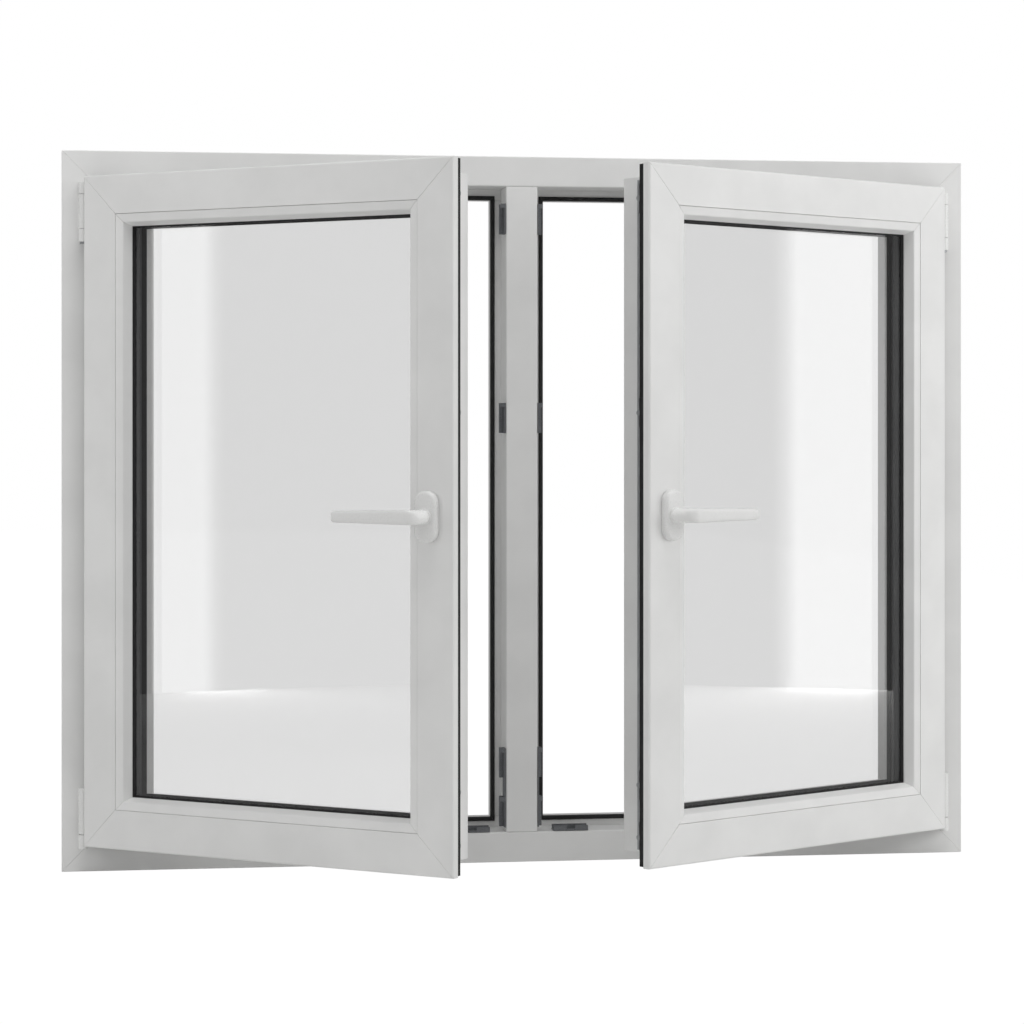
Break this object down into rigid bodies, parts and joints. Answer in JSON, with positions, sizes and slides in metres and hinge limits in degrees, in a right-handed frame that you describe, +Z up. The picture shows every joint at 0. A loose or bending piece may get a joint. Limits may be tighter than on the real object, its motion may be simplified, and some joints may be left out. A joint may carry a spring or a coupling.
{
  "type": "casement window",
  "caption": "White double-sash window in a fixed frame with a central mullion; each sash swings inwards on side hinges, tilts on its foot and locks by a lever handle.",
  "frame": {"origin": "middle of the frame's underside: half the width, half the depth of the frame", "axes": "+X along the width, to the right seen from the room; +Y outdoors, through the frame's depth; +Z up"},
  "size_m": [1.29, 0.473, 1],
  "materials": {
    "white_pvc": "extruded, smooth, low gloss",
    "black_epdm": "extruded rubber, matt",
    "float_glass": "clear float glass with a faint green edge",
    "dark_spacer": "matt dark grey spacer bar",
    "zinc_plated_steel": "zinc plated, satin",
    "grey_zinc_casting": "die-cast zinc, satin grey",
    "white_enamel": "white powder coat, satin gloss"
  },
  "bodies": {
    "frame": {"frame_head": "white_pvc", "frame_sill": "white_pvc", "frame_jamb_left": "white_pvc", "frame_jamb_right": "white_pvc", "mullion": "white_pvc", "mullion_reinforcement": "zinc_plated_steel", "left_frame_seal": "black_epdm", "left_top_hinge_bearing": "white_enamel", "left_bottom_hinge_bearing": "white_enamel", "left_top_keep": "grey_zinc_casting", "left_middle_keep": "grey_zinc_casting", "left_lower_keep": "grey_zinc_casting", "left_sill_keep": "grey_zinc_casting", "right_frame_seal": "black_epdm", "right_top_hinge_bearing": "white_enamel", "right_bottom_hinge_bearing": "white_enamel", "right_top_keep": "grey_zinc_casting", "right_middle_keep": "grey_zinc_casting", "right_lower_keep": "grey_zinc_casting", "right_sill_keep": "grey_zinc_casting"},
    "left_swing": {"left_top_hinge_pin": "zinc_plated_steel"},
    "left_sash": {"left_hinge_stile": "white_pvc", "left_lock_stile": "white_pvc", "left_top_rail": "white_pvc", "left_bottom_rail": "white_pvc", "left_sash_seal": "black_epdm", "left_glazing_bead": "white_pvc", "left_inner_glazing_gasket": "black_epdm", "left_outer_glazing_gasket": "black_epdm", "left_inner_pane": "float_glass", "left_outer_pane": "float_glass", "left_glass_spacer": "dark_spacer", "left_bottom_hinge_knuckle": "white_enamel", "left_espagnolette_case": "zinc_plated_steel", "left_handle_rosette": "white_enamel"},
    "left_stay": {"left_stay_arm": "white_enamel"},
    "left_handle": {"left_handle_lever": "white_enamel", "left_drive_pinion": "grey_zinc_casting"},
    "left_rod": {"left_drive_rod": "zinc_plated_steel"},
    "left_bolt": {"left_bottom_bolt": "zinc_plated_steel"},
    "right_swing": {"right_top_hinge_pin": "zinc_plated_steel"},
    "right_sash": {"right_hinge_stile": "white_pvc", "right_lock_stile": "white_pvc", "right_top_rail": "white_pvc", "right_bottom_rail": "white_pvc", "right_sash_seal": "black_epdm", "right_glazing_bead": "white_pvc", "right_inner_glazing_gasket": "black_epdm", "right_outer_glazing_gasket": "black_epdm", "right_inner_pane": "float_glass", "right_outer_pane": "float_glass", "right_glass_spacer": "dark_spacer", "right_bottom_hinge_knuckle": "white_enamel", "right_espagnolette_case": "zinc_plated_steel", "right_handle_rosette": "white_enamel"},
    "right_stay": {"right_stay_arm": "white_enamel"},
    "right_handle": {"right_handle_lever": "white_enamel", "right_drive_pinion": "grey_zinc_casting"},
    "right_rod": {"right_drive_rod": "zinc_plated_steel"},
    "right_bolt": {"right_bottom_bolt": "zinc_plated_steel"}
  },
  "joints": [
    {"name": "left_swing", "type": "hinge", "parent": "frame", "child": "left_swing", "pos_m": [-0.6155, -0.046, 0.04], "axis": [0, 0, -1], "range_deg": [-37.4, 57.6]},
    {"name": "left_tilt", "type": "hinge", "parent": "left_swing", "child": "left_sash", "pos_m": [-0.6155, -0.046, 0.04], "axis": [0.7944, -0.6074, 0], "range_deg": [0, 8]},
    {"name": "left_stay_swivel", "type": "hinge", "parent": "left_swing", "child": "left_stay", "pos_m": [-0.6155, -0.046, 0.9385], "axis": [0, 0, -1], "range_deg": [0, 28.1]},
    {"name": "left_handle_turn", "type": "hinge", "parent": "left_sash", "child": "left_handle", "pos_m": [-0.1767, -0.39408, 0.5], "axis": [0.6074, 0.7944, 0], "range_deg": [-90, 90]},
    {"name": "left_rod_slide", "type": "slide", "parent": "left_sash", "child": "left_rod", "axis": [0, 0, 1], "range_m": [-0.0152, 0.0152]},
    {"name": "left_bolt_slide", "type": "slide", "parent": "left_sash", "child": "left_bolt", "axis": [-0.7944, 0.6074, 0], "range_m": [-0.0152, 0.0152]},
    {"name": "right_swing", "type": "hinge", "parent": "frame", "child": "right_swing", "pos_m": [0.6155, -0.046, 0.04], "axis": [0, 0, 1], "range_deg": [-32.55, 62.5]},
    {"name": "right_tilt", "type": "hinge", "parent": "right_swing", "child": "right_sash", "pos_m": [0.6155, -0.046, 0.04], "axis": [0.8429, 0.538, 0], "range_deg": [0, 8]},
    {"name": "right_stay_swivel", "type": "hinge", "parent": "right_swing", "child": "right_stay", "pos_m": [0.6155, -0.046, 0.9385], "axis": [0, 0, 1], "range_deg": [0, 28.1]},
    {"name": "right_handle_turn", "type": "hinge", "parent": "right_sash", "child": "right_handle", "pos_m": [0.14884, -0.35573, 0.5], "axis": [0.538, -0.8429, 0], "range_deg": [-90, 90]},
    {"name": "right_rod_slide", "type": "slide", "parent": "right_sash", "child": "right_rod", "axis": [0, 0, 1], "range_m": [-0.0152, 0.0152]},
    {"name": "right_bolt_slide", "type": "slide", "parent": "right_sash", "child": "right_bolt", "axis": [0.8429, 0.538, 0], "range_m": [-0.0152, 0.0152]}
  ],
  "couplings": [
    {"joint": "left_stay_swivel", "follows": "left_tilt", "ratio": 3.5},
    {"joint": "left_rod_slide", "follows": "left_handle_turn", "m_per_rad": -0.0096},
    {"joint": "left_bolt_slide", "follows": "left_handle_turn", "m_per_rad": 0.0096},
    {"joint": "right_stay_swivel", "follows": "right_tilt", "ratio": 3.5},
    {"joint": "right_rod_slide", "follows": "right_handle_turn", "m_per_rad": -0.0096},
    {"joint": "right_bolt_slide", "follows": "right_handle_turn", "m_per_rad": 0.0096}
  ]
}
